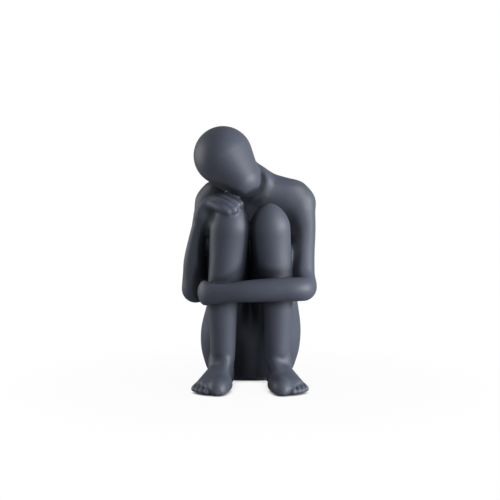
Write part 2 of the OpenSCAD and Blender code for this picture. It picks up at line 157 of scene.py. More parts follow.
class ArmForm(bpy.types.PropertyGroup):
    """Sizes of both arms."""
    left_shoulder: lengths("Left shoulder", "Place of the left shoulder joint", 50.2, 14, 172)
    right_shoulder: lengths("Right shoulder", "Place of the right shoulder joint", -40, 17, 172)
    left_elbow: lengths("Left elbow", "Place of the left elbow", 49.2, -26, 95.5)
    right_elbow: lengths("Right elbow", "Place of the right elbow", -51.7, -6, 91.5)
    right_wrist: lengths("Right wrist", "Place of the right wrist", -43.8, -30, 163)
    deltoid: lengths("Deltoid", "Width of the shoulder's round and its height over the joint", 24.6, 13.5)
    upper_w: length("Upper arm", "Width of the upper arm", 22.8)
    elbow_w: length("Elbow", "Width of the elbow", 23)
    cross_h: length("Crossing", "Height at which the left forearm crosses the shins", 94)
    forearm_w: length("Forearm", "Width of the forearm below the elbow", 22)
    wrist: lengths("Wrist", "Width and thickness of the wrist", 18, 15)
    bow: length("Bow", "How far the right forearm bows outwards", 3.6)


class HandForm(bpy.types.PropertyGroup):
    """Sizes of both hands."""
    palm_t: length("Palm", "Thickness of the palm", 10.4)
    palm_w: length("Palm's width", "Width of the palm across the knuckles", 24)
    finger_d: length("Finger", "Thickness of a finger", 7)
    seating: length("Seating", "How far a resting limb is let into what carries it", 0.8)


class SkinForm(bpy.types.PropertyGroup):
    """How finely the castings are worked out and how softly their forms run together."""
    step: length("Lattice step", "Distance between the points at which the forms are worked out", 0.9)
    toe: length("Toes", "Reach of the blend between toes and where the hand's web begins", 3)
    joint: length("Joints", "Reach of the soft blend at the shoulders", 15)
    neck: length("Neck", "Reach of the blend at the neck's root", 11)
    hip: length("Hips", "Reach of the blend at the hips", 9)
    knee: length("Knees", "Reach of the blend at the knees, elbows and ankles", 7)
    muscle: length("Muscles", "Reach of the blend at the collarbones and ankles", 8)
    tendon: length("Tendons", "Reach of the blend at the neck's tendons and in the hand's web", 4)
    digit: length("Digits", "Reach of the blend between fingers", 1.6)
    contact: length("Contacts", "Reach of the blend where castings only touch", 1.6)
    sole: length("Soles", "Rounding of the edge round the soles", 3)


class GlazeLook(bpy.types.PropertyGroup):
    """Colours of the glazed castings."""
    slate: colour("Slate", "Colour of the glaze", 0.07, 0.08, 0.113)
    pale: colour("Thin glaze", "Colour where the glaze runs thin", 0.135, 0.15, 0.2)
    # The thick colour is also the colour of the painted shade in sheltered places.
    deep: colour("Thick glaze", "Colour where the glaze pools", 0.02, 0.024, 0.036)
    clay: colour("Clay", "Colour of the bare clay in the joints", 0.52, 0.43, 0.38)
    roughness: amount("Roughness", "Roughness of the satin glaze", 0.52)
    gloss: amount("Gloss", "How strongly the glaze mirrors", 0.5)


class FeltLook(bpy.types.PropertyGroup):
    """Colours of the felt pads."""
    wool: colour("Felt", "Colour of the felt", 0.02, 0.02, 0.022)
    fluff: colour("Fluff", "Colour of its loose fibres", 0.07, 0.07, 0.075)


class StudioLook(bpy.types.PropertyGroup):
    """Camera, lamps and floor."""
    eye: lengths("Eye", "Place of the camera", 0, -1095, 208.15)
    aim: lengths("Aim", "Place that the camera looks at", 0, 5, 127.72)
    focal: bpy.props.FloatProperty(name="Focal length", description="Focal length of the camera",
                                   default=82.81, unit="CAMERA")
    key: bpy.props.FloatProperty(name="Key lamp", description="Power of the key lamp in watts", default=23.0)
    rim: bpy.props.FloatProperty(name="Rim lamp", description="Power of the rim lamp in watts", default=4.6)
    room: amount("Room", "Strength of the room's light on the object", 0.3)
    paper: colour("Paper", "Colour of the floor", 0.33, 0.33, 0.33)


class FigurineSettings(bpy.types.PropertyGroup):
    """All sizes and colours of the figurine."""
    trunk: bpy.props.PointerProperty(type=TrunkForm)
    head: bpy.props.PointerProperty(type=HeadForm)
    leg: bpy.props.PointerProperty(type=LegForm)
    foot: bpy.props.PointerProperty(type=FootForm)
    arm: bpy.props.PointerProperty(type=ArmForm)
    hand: bpy.props.PointerProperty(type=HandForm)
    skin: bpy.props.PointerProperty(type=SkinForm)
    glaze: bpy.props.PointerProperty(type=GlazeLook)
    felt: bpy.props.PointerProperty(type=FeltLook)
    studio: bpy.props.PointerProperty(type=StudioLook)


def settings():
    return bpy.context.scene.figurine


def spot(value):
    """A place or a row of sizes as an array."""
    return np.array(value[:], dtype=float)


def vec(*values):
    return np.array(values, dtype=float)


def between(a, b, share):
    return a + (b - a) * share


def unit(v):
    return v / np.linalg.norm(v, axis=-1, keepdims=True)


# Forms

def station(place, half_w, ahead=None, behind=None):
    """A row of a limb: the middle, the half width and the half depths ahead and behind. A depth that
    isn't given is the one before it."""
    ahead = half_w if ahead is None else ahead
    return [*place, half_w, ahead, ahead if behind is None else behind]


SPAN_STEPS = 8


def smoothed(rows):
    """Rows along a smooth curve through the given rows: each span is the cubic whose slope at a row
    is half the step between the rows on either side."""
    rows = np.array(rows, dtype=float)
    first, last = rows[:-1], rows[1:]
    before = np.vstack([rows[:1], rows[:-2]])
    after = np.vstack([rows[2:], rows[-1:]])
    t = (np.arange(SPAN_STEPS) / SPAN_STEPS)[None, :, None]
    a, b, c, d = (r[:, None, :] for r in (before, first, last, after))
    square = (2 * a - 5 * b + 4 * c - d) * t ** 2
    cube = (3 * b - a - 3 * c + d) * t ** 3
    curve = 0.5 * (2 * b + (c - a) * t + square + cube)
    return np.vstack([curve.reshape(-1, rows.shape[1]), rows[-1:]])


def soft_min(a, b, reach):
    """The lower of two fields, with a round of the given reach where they are nearly equal:
    the lower one less a quarter of the reach times the square of their closeness."""
    close = np.maximum(reach - np.abs(a - b), 0)
    return np.minimum(a, b) - close * close / (4 * reach)


def soft_max(a, b, reach):
    return -soft_min(-a, -b, reach)


def oval_gap(reaches):
    """Distance to an ellipse or ellipsoid, from pairs of a point's offset along an axis and the half
    size there: with k the length of offset over size and m that of offset over size squared,
    it is k times k less one, over m."""
    tiny = 1e-3
    k = np.sqrt(sum((offset / half) ** 2 for offset, half in reaches))
    m = np.sqrt(sum((offset / half ** 2) ** 2 for offset, half in reaches))
    return (k - 1) * (k + tiny) / (m + tiny / reaches[0][1])


def limb_gap(points, rows, across, start=None, end=None):
    """Distance to an oval profile carried along a smooth path. Each point looks up its nearest place
    on the path, and its offset there is split across, ahead and along the path. The ends close
    with half ellipsoids of the heights start and end. A row of the table holds a place on the path,
    the half width, the half depths ahead and behind, and the directions across, ahead and along."""
    rows = smoothed(rows)
    path = rows[:, :3]
    ways = unit(np.gradient(path, axis=0))
    sides = unit(across - ways * (ways @ across)[:, None])
    table = np.hstack([rows, sides, np.cross(ways, sides), ways]).astype(np.float32)
    x, y, z = points
    nearest = np.full(np.broadcast_shapes(x.shape, y.shape, z.shape), np.inf, np.float32)
    place = np.zeros_like(nearest)
    starts, steps = path[:-1].astype(np.float32), np.diff(path, axis=0).astype(np.float32)
    for i, (a, step) in enumerate(zip(starts, steps)):
        share = ((x - a[0]) * step[0] + (y - a[1]) * step[1] + (z - a[2]) * step[2]) / (step @ step)
        share = np.clip(share, 0, 1)
        gap = (x - a[0] - share * step[0]) ** 2 + (y - a[1] - share * step[1]) ** 2 \
            + (z - a[2] - share * step[2]) ** 2
        closer = gap < nearest
        nearest = np.where(closer, gap, nearest)
        place = np.where(closer, i + share, place)
    thick = rows[:, 3:6].max()
    field = np.sqrt(nearest) - thick
    near = field < FAR
    index = np.minimum(place[near].astype(int), len(path) - 2)
    share = (place[near] - index)[:, None]
    here = table[index] + (table[index + 1] - table[index]) * share
    offset = np.stack([np.broadcast_to(v, nearest.shape)[near] for v in points], 1) - here[:, :3]
    half, front, rear = here[:, 3:6].T
    out, ahead, along = ((offset * axis).sum(1) for axis in np.split(here[:, 6:], 3, axis=1))
    deep = np.where(ahead > 0, front, rear)
    past_start = (place[near] <= 0) & (along < 0)
    past_end = (place[near] >= len(path) - 1) & (along > 0)
    least = np.minimum(half, front)
    tall = np.where(past_start, start or least, end or least)
    along = np.where(past_start | past_end, along, 0)
    field[near] = oval_gap([(out, half), (ahead, deep), (along, tall)])
    return field


def rod_gap(points, joints, radii):
    """Distance to a rod of balls that grow or shrink evenly between its joints. Past each stretch the
    nearest ball sits at the foot of the point, slid along by the stretch's taper."""
    x, y, z = points
    field = None
    for a, b, first, last in zip(joints[:-1], joints[1:], radii[:-1], radii[1:]):
        span = np.linalg.norm(b - a)
        way = ((b - a) / span).astype(np.float32)
        dx, dy, dz = (v - np.float32(w) for v, w in zip((x, y, z), a))
        along = dx * way[0] + dy * way[1] + dz * way[2]
        aside = np.sqrt(np.maximum(dx * dx + dy * dy + dz * dz - along * along, 0))
        taper = (last - first) / span
        foot = np.clip(along + aside * (taper / np.sqrt(1 - taper * taper)), 0, span)
        gap = np.sqrt(aside * aside + (along - foot) ** 2) - (first + taper * foot)
        field = gap if field is None else np.minimum(field, gap)
    return field.astype(np.float32)


FAR = 16 * MM
MIDDLE_SHARE = 0.44
LOW_SHARES = np.array([0.6, 0.3, 0.6, 0.3])
HIPS_SWAY_SHARE = 0.2
WAIST_SWAY_SHARE = 0.7
FURROW_POWER = 14
CROWN_POWER = 4
CHEST_POWER = 3.6
OVAL_POWER = 2
LEAST_SHARE = 1e-6
LEAST_SLOPE_SHARE = 0.5


def trunk_rings(form):
    """The heights of the rings, and at each its middle, half width, half depths and furrow."""
    def ring(sway_share, ring_sizes, furrow):
        w, front, back, h = ring_sizes
        y = between(front, back, MIDDLE_SHARE)
        return [h, form.sway * sway_share, y, w / 2, y - front, back - y, furrow]

    hips, seat = spot(form.hips), spot(form.seat)
    return smoothed([
        ring(0, seat, form.cleft / 2), ring(0, between(seat, hips, LOW_SHARES), form.cleft),
        ring(HIPS_SWAY_SHARE, hips, form.cleft), ring(WAIST_SWAY_SHARE, spot(form.waist), form.furrow / 2),
        ring(1, spot(form.ribs), form.furrow), ring(1, spot(form.shoulders), form.furrow),
        ring(1, spot(form.crown), 0)]).T


def trunk_gap(points, form):
    """Distance to the trunk, whose rings lie level: at each height a smooth curve gives the ring's
    middle, half width and half depths, and a furrow makes the ring shallower along the spine. With k
    the share of the ring's reach at which a point lies, the distance is k less one, over the slope
    of k. The chest's rings are a little squarer than ellipses. Over the shoulders a power of k gains
    the same power of the rise towards the crown, which closes the top in one round."""
    x, y, z = points
    heights, *columns = trunk_rings(form)
    mid_x, mid_y, half, ahead, behind, furrow = (
        np.interp(z, heights, column).astype(np.float32) for column in columns)
    out = (x - mid_x) + 0 * y
    forward = (mid_y - y) + 0 * x
    deep = np.where(forward > 0, ahead, behind)
    oval = np.hypot(out / half, forward / deep) + LEAST_SHARE
    deep = deep - furrow * np.clip(-forward / deep / oval, 0, 1) ** FURROW_POWER
    waist_h, ribs_h, shoulder_h, crown_h = (
        ring[3] for ring in (form.waist, form.ribs, form.shoulders, form.crown))
    chest = np.clip((z - waist_h) / (ribs_h - waist_h), 0, 1)
    power = OVAL_POWER + (CHEST_POWER - OVAL_POWER) * chest * (forward > 0)
    rise = np.clip((z - shoulder_h) / (crown_h - shoulder_h), 0, None)
    k = (np.abs(out / half) ** power + np.abs(forward / deep) ** power) ** (1 / power)
    k = (k ** CROWN_POWER + rise ** CROWN_POWER) ** (1 / CROWN_POWER)
    step = z[0, 0, 1] - z[0, 0, 0]
    slope = np.sqrt(sum(g * g for g in np.gradient(k, step)))
    return ((k - 1) / np.maximum(slope, LEAST_SLOPE_SHARE / form.shoulders[0])).astype(np.float32)


# The lattice and its fields

class Lattice:
    """Evenly spaced points round the figure, and the fields worked out on them."""

    def __init__(self, low, high, step):
        self.step = step
        self.axes = [np.arange(a, b + step, step, dtype=np.float32) for a, b in zip(low, high)]
        self.low = np.array([a[0] for a in self.axes])

    def window(self, low, high):
        """The slices and points of the part of the lattice inside a box."""
        cut = tuple(slice(*np.searchsorted(axis, ends)) for axis, ends in zip(self.axes, zip(low, high)))
        return cut, np.meshgrid(*(a[c] for a, c in zip(self.axes, cut)), indexing="ij", sparse=True)

    def empty(self):
        """A field of open air."""
        return np.full([len(a) for a in self.axes], FAR, np.float32)

    def sample(self, field, places):
        """The field at any places, blended from the eight lattice points round each."""
        at = (places - self.low) / self.step
        corner = np.clip(at.astype(int), 0, np.array(field.shape[:3]) - 2)
        share = at - corner
        total = 0
        for k in range(8):
            bits = np.array([k & 1, k >> 1 & 1, k >> 2 & 1])
            weight = np.prod(np.where(bits, share, 1 - share), axis=1)
            value = field[tuple((corner + bits).T)]
            total = total + (weight[:, None] * value if value.ndim > 1 else weight * value)
        return total


class Casting:
    """One casting: its forms gathered into one field, in the part of the lattice that they reach."""

    def __init__(self, lattice, low, high):
        self.lattice = lattice
        self.field = lattice.empty()
        self.low, self.high = np.array(low), np.array(high)

    def add(self, places, thick, form, reach):
        """Blend in a form, worked out only near its own places."""
        places = np.array(places)
        low = np.maximum(places.min(0) - thick - FAR, self.low - FAR)
        high = np.minimum(places.max(0) + thick + FAR, self.high + FAR)
        cut, points = self.lattice.window(low, high)
        self.field[cut] = soft_min(self.field[cut], form(points), reach)

    def limb(self, rows, across, reach, start=None, end=None):
        """Blend in an oval profile carried along a path."""
        rows = np.array(rows)
        thick = max(rows[:, 3:].max(), start or 0, end or 0)
        self.add(rows[:, :3], thick, lambda points: limb_gap(points, rows, across, start, end), reach)

    def rod(self, joints, radii, reach):
        """Blend in a round rod whose thickness changes from joint to joint."""
        rows = smoothed(np.column_stack([joints, radii]))
        self.add(joints, max(radii), lambda points: rod_gap(points, rows[:, :3], rows[:, 3]), reach)

    def groove(self, joints, radii, reach):
        """Cut the shape of a rod out of the casting."""
        rows = smoothed(np.column_stack([joints, radii]))
        low, high = rows[:, :3].min(0) - FAR / 2, rows[:, :3].max(0) + FAR / 2
        cut, points = self.lattice.window(low, high)
        self.field[cut] = soft_max(self.field[cut], -rod_gap(points, rows[:, :3], rows[:, 3]), reach)

    def web(self, rods, within, reach):
        """Rods that run together into one form, which is then blended in."""
        rods = [smoothed(np.column_stack(rod)) for rod in rods]

        def form(points):
            field = rod_gap(points, rods[0][:, :3], rods[0][:, 3])
            for rows in rods[1:]:
                field = soft_min(field, rod_gap(points, rows[:, :3], rows[:, 3]), within)
            return field

        rows = np.vstack(rods)
        self.add(rows[:, :3], rows[:, 3].max(), form, reach)


X, Y, Z = np.eye(3)


def neck_head(form):
    """Where the neck ends inside the head."""
    head = settings().head
    skull, chin = spot(head.skull), spot(head.chin)
    return between(skull, chin, 0.3) + vec(form.neck * 0.08, head.skull_size[1] * 0.45, form.neck * 0.06)


HOLLOW_SHARES = ((0.22, 0, 0.05), (0.33, 0, -0.07))


def sculpt_trunk(part):
    """The rings, the neck, a collarbone on each side, the hollow under the left shoulder, the tendons."""
    s = settings()
    form, skin = s.trunk, s.skin
    r = form.neck / 2
    foot, top = spot(form.neck_foot), neck_head(form)
    part.add([part.low, part.high], 0, lambda points: trunk_gap(points, form), skin.contact)
    part.limb([station(foot + vec(r / 2, r / 2, -1.2 * r), r), station(foot, r * 1.12),
               station(between(foot, top, 0.5), r), station(top, r)], X, skin.neck)
    shoulder_w, front, _, shoulder_h = form.shoulders
    d = form.collarbone
    throat = vec(foot[0] * 0.8, front + d * 0.5, shoulder_h - d * 0.2)
    for side in (LEFT, RIGHT):
        outer = vec(form.sway + side * shoulder_w * 0.37, front + d * 1.7, shoulder_h + d * 0.1)
        middle = between(throat, outer, 0.5) + Y * d * 0.3
        part.rod([throat + X * side * d * 0.4, middle, outer], d / 2 * vec(0.8, 0.9, 0.8), skin.muscle)
    hollow_r, hollow_depth = form.hollow
    hollow = vec(form.sway, front - hollow_r + hollow_depth, shoulder_h + d * 0.1)
    part.groove([hollow + shoulder_w * vec(*share) for share in HOLLOW_SHARES], [hollow_r] * 2, skin.knee)
    sculpt_tendons(part, throat, foot, top)


def sculpt_tendons(part, throat, foot, top):
    """The left tendon bends round the neck's front, and the right one runs straight up under the chin."""
    s = settings()
    r, d = s.trunk.neck / 2, s.trunk.tendon
    part.rod([throat + d * vec(0.3, 0.1, -0.7), throat + d * vec(0.55, -0.1, 0.3),
              foot + r * vec(0.4, -0.95, 0.5), foot + r * vec(0.1, -0.8, 1)],
             d / 2 * vec(0.6, 0.8, 1, 0.7), s.skin.tendon)
    part.rod([throat - X * d * 0.45, between(throat, top, 0.6), top - s.trunk.neck * vec(0.4, 0.08, 0)],
             d / 2 * vec(0.8, 1, 1), s.skin.tendon)


def sculpt_head(part):
    """The egg is a rod from the skull to the chin, in space drawn in front to back."""
    head = settings().head
    skull, chin = spot(head.skull), spot(head.chin)
    radius, depth = head.skull_size
    squeeze = vec(1, radius / depth, 1)

    def egg(points):
        return rod_gap([v * k for v, k in zip(points, squeeze)], [skull * squeeze, chin * squeeze],
                       [radius, head.chin_r])

    part.add([skull, chin], depth, egg, settings().skin.contact)


def sculpt_leg(part):
    """The thigh runs from the hip to the knee, and the shin from inside the heel to the knee's round."""
    s = settings()
    leg, foot, skin = s.leg, s.foot, s.skin
    hip, knee, ankle = spot(leg.hip), spot(leg.knee), spot(leg.ankle)
    knee_w, knee_d, knee_top = leg.knee_size
    thigh_w, thigh_d = leg.thigh
    calf_w, shin_d, calf_d = leg.calf
    part.limb([station(hip, leg.hip_r), station(between(hip, knee, 0.5), thigh_w / 2, thigh_d, thigh_d * 1.1),
               station(knee, knee_w / 2 * 0.94, knee_d * 0.9)], X, skin.contact, leg.hip_r, knee_top * 0.6)
    calf = between(ankle, knee, 0.46)
    calf[0] = leg.calf_x
    part.limb([station(between(ankle, spot(foot.heel), 0.5), leg.ankle_w * 0.4),
               station(ankle, leg.ankle_w / 2),
               station(between(ankle, calf, 0.45), between(leg.ankle_w, calf_w, 0.4) / 2,
                       shin_d * 0.92, calf_d * 0.8),
               station(calf, calf_w / 2, shin_d, calf_d),
               station(between(calf, knee, 0.5), between(calf_w, knee_w, 0.5) / 2,
                       between(shin_d, knee_d, 0.6), between(calf_d, knee_d, 0.5)),
               station(knee, knee_w / 2, knee_d)], -X, skin.knee, None, knee_top)
    sculpt_foot(part, ankle)


SOLE_SHARE = 0.25
TOE_PLACE_SHARES = (0.27, -0.02, -0.18, -0.32, -0.43)
TOE_LENGTH_SHARES = (1, 1.05, 0.88, 0.66, 0.32)
TOE_GAP_SHARES = (0.62, 0.5, 0.5, 0.5)
TOE_FALL_SHARE = 0.13


def sculpt_foot(part, ankle):
    """A limb along the sole from the heel to the toes, the outer ankle bone, the toes, the ridge from
    the ankle to the big toe and a groove between each toe and the next."""
    s = settings()
    foot, skin = s.foot, s.skin
    heel, ball = spot(foot.heel), spot(foot.ball)
    ball_w, ball_h = foot.ball_size
    toe_l, toe_w = foot.big_toe
    way = unit(ball - heel)
    inward = np.cross(way, Z)
    instep = between(heel, ball, 0.5)

    def sole_row(place, w, h):
        return station(place + Z * h * SOLE_SHARE, w / 2, h * SOLE_SHARE + FAR / 4, h * (1 - SOLE_SHARE))

    toe_line = ball + way * toe_l * 0.3 - inward * foot.small_toe_w * 0.2
    part.limb([sole_row(heel, foot.heel_w, foot.instep_h),
               sole_row(between(heel, instep, 0.5), foot.heel_w, foot.instep_h * 1.2),
               sole_row(instep, between(foot.heel_w, ball_w, 0.6), foot.instep_h),
               sole_row(ball, ball_w, ball_h),
               sole_row(toe_line, ball_w * 0.92, foot.small_toe_w)], inward, skin.knee,
              foot.heel_w / 2, foot.small_toe_w * 0.4)
    ankle_w = s.leg.ankle_w
    bone = ankle + ankle_w * vec(0.24, 0.1, -0.3)
    part.rod([bone, bone + Z * MM], [ankle_w * 0.3] * 2, skin.muscle)
    toes = sculpt_toes(part, ball, way, inward)
    ridge_r = toe_w * 0.36
    part.rod([ankle + ankle_w * vec(-0.13, -0.44, -0.22), between(ankle, toes[0][0], 0.55) - Y * ridge_r,
              toes[0][0] + Z * ridge_r * 0.3, toes[0][1]], ridge_r * vec(0.7, 0.9, 1, 1), skin.knee)
    w = foot.small_toe_w
    for inner, outer, share in zip(toes, toes[1:], TOE_GAP_SHARES):
        back, knuckle, tip = between(inner, outer, share)
        part.groove([between(back, knuckle, 0.6) + Z * w * 0.62, knuckle + Z * w * 0.5,
                     tip + way * w * 0.46 + Z * w * 0.1, tip + way * w * 0.6 - Z * w * 0.6],
                    w * vec(0.03, 0.08, 0.1, 0.08), skin.digit)


def sculpt_toes(part, ball, way, inward):
    """Five rods from the ball of the foot, each through its back, its knuckle and its tip."""
    s = settings()
    foot, skin = s.foot, s.skin
    ball_w, ball_h = foot.ball_size
    toe_l, toe_w = foot.big_toe
    toes = []
    for i, (place, reach) in enumerate(zip(TOE_PLACE_SHARES, TOE_LENGTH_SHARES)):
        w = toe_w if i == 0 else foot.small_toe_w
        line = ball + inward * ball_w * place
        tip = line + way * (toe_l * reach - w * 0.4) + Z * w * 0.36
        knuckle = between(line, tip, 0.5) + Z * w * 0.3
        back = line - way * w + Z * (ball_h * (1 - TOE_FALL_SHARE * i) - w * 0.55)
        toes.append(np.array([back, knuckle, tip]))
        part.rod(toes[-1], w * vec(0.52, 0.54, 0.54), skin.knee if i == 0 else skin.toe)
    return toes


def sculpt_upper_arm(part, shoulder, elbow):
    """A rod from the shoulder's round towards the neck, and a limb from the shoulder to the elbow."""
    s = settings()
    arm, trunk, skin = s.arm, s.trunk, s.skin
    wide, top = arm.deltoid
    side = np.sign(shoulder[0])
    neckwards = vec(trunk.sway + side * wide, shoulder[1], trunk.shoulders[3] + wide * 0.08)
    part.rod([shoulder + Z * (top - wide / 2), neckwards], [wide * 0.42, wide * 0.34], skin.knee)
    part.limb([station(shoulder, wide / 2),
               station(between(shoulder, elbow, 0.3) + arm.upper_w * vec(0.04 * side, 0.08, 0),
                       wide * 0.485),
               station(between(shoulder, elbow, 0.65), arm.upper_w / 2),
               station(elbow, arm.elbow_w / 2)], X, skin.knee, top)


KNUCKLE_SHARES = (0.55, 0.6, 0.67, 0.75)
KNUCKLE_LIFTS = (0.6, 0.75, 0.72, 0.64)
BEND_BEARINGS = (-25, -11, 14, 78)
BEND_RISES = (44, 55, 69, 75)
TIP_BEARINGS = (-4, 14, 39, 83)
TIP_RISES = (38, 42, 57, 62)
WRIST_GAP_SHARES = ((0.71, -0.53, 0.25), (0.47, -0.47, -0.18), (0.31, -0.33, -0.8), (0.15, -0.07, -1.57))
FINGER_SHARES = (1.08, 1.16, 1.06, 0.98)
ARCH_SHARES = ((0.25, (-0.35, 0, 0.75)), (0.6, (-0.4, 0, 0.75)))


def on_knee(bearing, rise, lift):
    """A place on the round of the right knee, by its bearing from the front and its rise."""
    leg = settings().leg
    bearing, rise = np.radians(bearing), np.radians(rise)
    way = vec(np.cos(rise) * np.sin(bearing), -np.cos(rise) * np.cos(bearing), np.sin(rise))
    knee = spot(leg.knee) * [RIGHT, 1, 1]
    return knee + spot(leg.knee_size) * [0.5, 1, 1] * way + way * (lift - settings().hand.seating)


def sculpt_right_arm(part):
    """The forearm rises to the wrist, and the hand's web spreads from there to the knuckles. A groove
    folds the wrist, and each finger is a rod that bends over the knee's round."""
    s = settings()
    arm, hand, skin = s.arm, s.hand, s.skin
    shoulder, elbow, wrist = spot(arm.right_shoulder), spot(arm.right_elbow), spot(arm.right_wrist)
    wrist_w, wrist_t = arm.wrist
    bow = -X * arm.bow
    sculpt_upper_arm(part, shoulder, elbow)
    part.limb([station(elbow, arm.elbow_w / 2),
               station(between(elbow, wrist, 0.35) + bow, between(arm.elbow_w, wrist_t, 0.32) / 2),
               station(between(elbow, wrist, 0.7) + bow * 1.05, wrist_t * 0.47),
               station(wrist - X * wrist_t * 0.04, wrist_t * 0.42, wrist_w * 0.4)],
              X, skin.knee, None, wrist_t / 2)
    palm_r, finger_r = hand.palm_t / 2, hand.finger_d / 2
    bends = [on_knee(*bearings, finger_r * 1.3) for bearings in zip(BEND_BEARINGS, BEND_RISES)]
    knuckles = [between(wrist, bend, share) + Z * hand.palm_t * lift
                for bend, share, lift in zip(bends, KNUCKLE_SHARES, KNUCKLE_LIFTS)]
    arch = [between(wrist, knuckles[-1], share) + palm_r * np.array(lift) for share, lift in ARCH_SHARES]
    spoke_radii = [wrist_t * 0.4, finger_r * 1.25, finger_r]
    spokes = [([wrist, arch[0], between(arch[0], knuckle, 0.7)], spoke_radii) for knuckle in knuckles]
    part.web([*spokes, ([wrist, *arch, knuckles[-1]], palm_r * vec(1.3, 1.05, 0.9, 0.75))],
             skin.tendon, skin.toe)
    part.groove([wrist + wrist_t * np.array(share) for share in WRIST_GAP_SHARES],
                wrist_t * vec(0.12, 0.2, 0.2, 0.16), skin.contact)
    for i, (knuckle, bend, thick) in enumerate(zip(knuckles, bends, FINGER_SHARES)):
        tip = on_knee(TIP_BEARINGS[i], TIP_RISES[i], finger_r)
        part.rod([between(arch[0], knuckle, 0.45), knuckle, bend, tip],
                 finger_r * thick * vec(0.95, 1, 1, 0.95), skin.digit)


FINGER_ROW_SHARES = (0.31, 0.1, -0.11, -0.31)
PALM_TURNS = (32, 62, 92, 128)
PALM_W_SHARES = (0.42, 0.49, 0.34, 0.26)
PALM_T_SHARES = (0.52, 0.5, 0.46, 0.36)
FINGER_TURNS = (94, 114, 136)
FINGER_TURN_SHARES = (1, 1, 0.9, 0.68)


def sculpt_left_arm(part):
    """The forearm swells past the elbow and crosses both shins, and the palm and the four fingers
    carry on round the right one."""
    s = settings()
    arm, hand, leg, skin = s.arm, s.hand, s.leg, s.skin
    shoulder, elbow = spot(arm.left_shoulder), spot(arm.left_elbow)
    wrist_w, wrist_t = arm.wrist
    knee, ankle = spot(leg.knee), spot(leg.ankle)
    share = (arm.cross_h - ankle[2]) / (knee[2] - ankle[2])
    shin_y = between(ankle, knee, share)[1] - leg.calf[1]
    fall = elbow[2] - arm.cross_h

    def shin_front(side):
        """The front of a shin where the forearm crosses it."""
        return vec(side * leg.calf_x, shin_y, arm.cross_h)

    calf_w, shin_d, calf_d = leg.calf
    axis = shin_front(RIGHT) + vec(0, shin_d, -2 * fall)

    def round_shin(turn, lift):
        """A place over the right shin's oval, by its turn from the front outwards."""
        turn = np.radians(turn)
        depth = shin_d if np.cos(turn) > 0 else calf_d
        oval = vec(calf_w / 2 * np.sin(turn), depth * np.cos(turn), 0)
        out = unit(vec(-np.sin(turn) * depth, -np.cos(turn) * calf_w / 2, 0))
        return axis - oval + out * (lift - hand.seating)

    over_left = shin_front(LEFT) + vec(0, hand.seating - arm.forearm_w * 0.45, fall)
    wrist = shin_front(RIGHT) + vec(0, hand.seating - wrist_t / 2, -fall)
    midway = between(over_left, wrist, 0.5) - Y * arm.forearm_w * 0.05
    sculpt_upper_arm(part, shoulder, elbow)
    part.limb([station(elbow, arm.elbow_w / 2),
               station(between(elbow, over_left, 0.5) + arm.forearm_w * vec(0.42, -0.36, 0),
                       arm.forearm_w * 0.5),
               station(over_left, arm.forearm_w / 2),
               station(midway, between(arm.forearm_w, wrist_w, 0.4) / 2),
               station(wrist + X * wrist_w * 0.3, wrist_w / 2, wrist_t / 2),
               *(station(round_shin(turn, hand.palm_t * thick), hand.palm_w * wide, hand.palm_t * thick)
                 for turn, wide, thick in zip(PALM_TURNS, PALM_W_SHARES, PALM_T_SHARES))],
              Z, skin.knee, None, hand.palm_t * 0.4)
    r = hand.finger_d * 0.55
    for row, length_share in zip(FINGER_ROW_SHARES, FINGER_TURN_SHARES):
        part.rod([round_shin(turn * length_share, r) + Z * hand.palm_w * row for turn in FINGER_TURNS],
                 r * vec(0.9, 1, 0.95), skin.digit)


def mirrored(part, lattice):
    """The same casting on the figure's other side: the lattice is even about the middle."""
    twin = Casting(lattice, part.low, part.high)
    twin.field = part.field[::-1].copy()
    return twin


OWNERSHIP = {"trunk": 8, "right_leg": 4, "left_leg": 4, "right_arm": 2, "left_arm": 1, "head": 1}
BLUR_WEIGHTS = (0.25, 0.5, 0.25)


def blurred(field):
    """The field with each value averaged with its neighbours along each axis."""
    for axis in range(3):
        a, b, c = BLUR_WEIGHTS
        field = a * np.roll(field, 1, axis) + b * field + c * np.roll(field, -1, axis)
    return field


SHELTER_REACHES = (8, 16, 24)
LATTICE_PAD = 4 * MM
ARM_SPREAD, LEG_SPREAD, HEAD_SPREAD = 40 * MM, 45 * MM, 20 * MM
NAPE = np.array([12, 8, 8]) * MM
RELAX_ROUNDS = 6
SETTLE_ROUNDS = 3
BEND_ROUNDS = 2
LEAST_STEEPNESS = 0.2
LONGEST_MOVE_SHARE = 0.5


